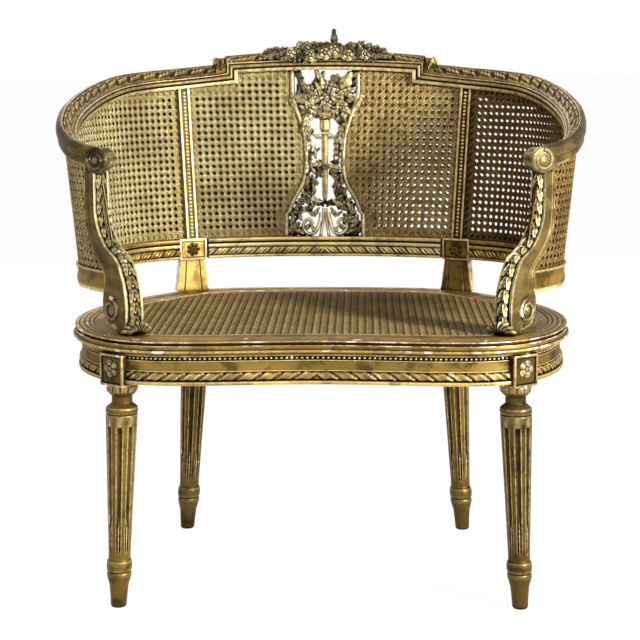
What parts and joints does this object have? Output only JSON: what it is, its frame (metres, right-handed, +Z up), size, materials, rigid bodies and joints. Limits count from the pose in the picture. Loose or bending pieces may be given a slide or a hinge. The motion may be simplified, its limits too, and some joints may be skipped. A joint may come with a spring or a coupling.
{
  "type": "caned tub armchair",
  "caption": "Low gilded wooden armchair with a caned seat, a double caned back that wraps round into the arms, a pierced splat and turned fluted legs.",
  "frame": {"origin": "on the floor under the middle of the chair's outline", "axes": "+Z up, -Y the way a sitter faces, +X the right-hand side as seen from the front"},
  "size_m": [0.8512, 0.6348, 0.8915],
  "materials": {
    "gilt_pale": "carved wood, gilded, rubbed bright on the edges",
    "gilt_deep": "carved wood, gilded, toned down with brown patina",
    "gilt_worn": "carved wood, gilding worn to a greenish grey",
    "bare_beech": "plain beech, unfinished",
    "cane_seat": "woven cane, aged",
    "cane_back": "woven cane, toned gold"
  },
  "bodies": {
    "root": {"leg_front_right": "gilt_worn", "leg_front_left": "gilt_worn", "leg_rear_right": "gilt_worn", "leg_rear_left": "gilt_worn", "seat_rail_side_right": "gilt_pale", "seat_rail_side_left": "gilt_pale", "corner_block_front_right": "bare_beech", "corner_block_front_left": "bare_beech", "corner_block_rear_right": "bare_beech", "corner_block_rear_left": "bare_beech", "seat_rim_side_right": "gilt_pale", "seat_rim_side_left": "gilt_pale", "back_post_right": "gilt_pale", "back_post_left": "gilt_pale", "low_rail_arm_right": "gilt_deep", "low_rail_arm_left": "gilt_deep", "arm_rail_right": "gilt_worn", "arm_rail_left": "gilt_worn", "arm_support_right": "gilt_pale", "arm_support_left": "gilt_pale", "cane_back_inner_right": "cane_back", "cane_back_inner_left": "cane_back", "cane_arm_inner_right": "cane_back", "cane_arm_inner_left": "cane_back", "cane_back_outer_right": "cane_back", "cane_back_outer_left": "cane_back", "cane_arm_outer_right": "cane_back", "cane_arm_outer_left": "cane_back", "rosette_front_right": "gilt_pale", "rosette_front_left": "gilt_pale", "rosette_back_right": "gilt_pale", "rosette_back_left": "gilt_pale", "seat_rail_front": "gilt_pale", "seat_rail_rear": "gilt_deep", "seat_rim_front": "gilt_pale", "seat_rim_rear": "gilt_deep", "seat_cane": "cane_seat", "low_rail_back": "gilt_deep", "crest_rail": "gilt_pale", "splat": "gilt_deep", "crest_garland": "gilt_worn"}
  },
  "joints": []
}
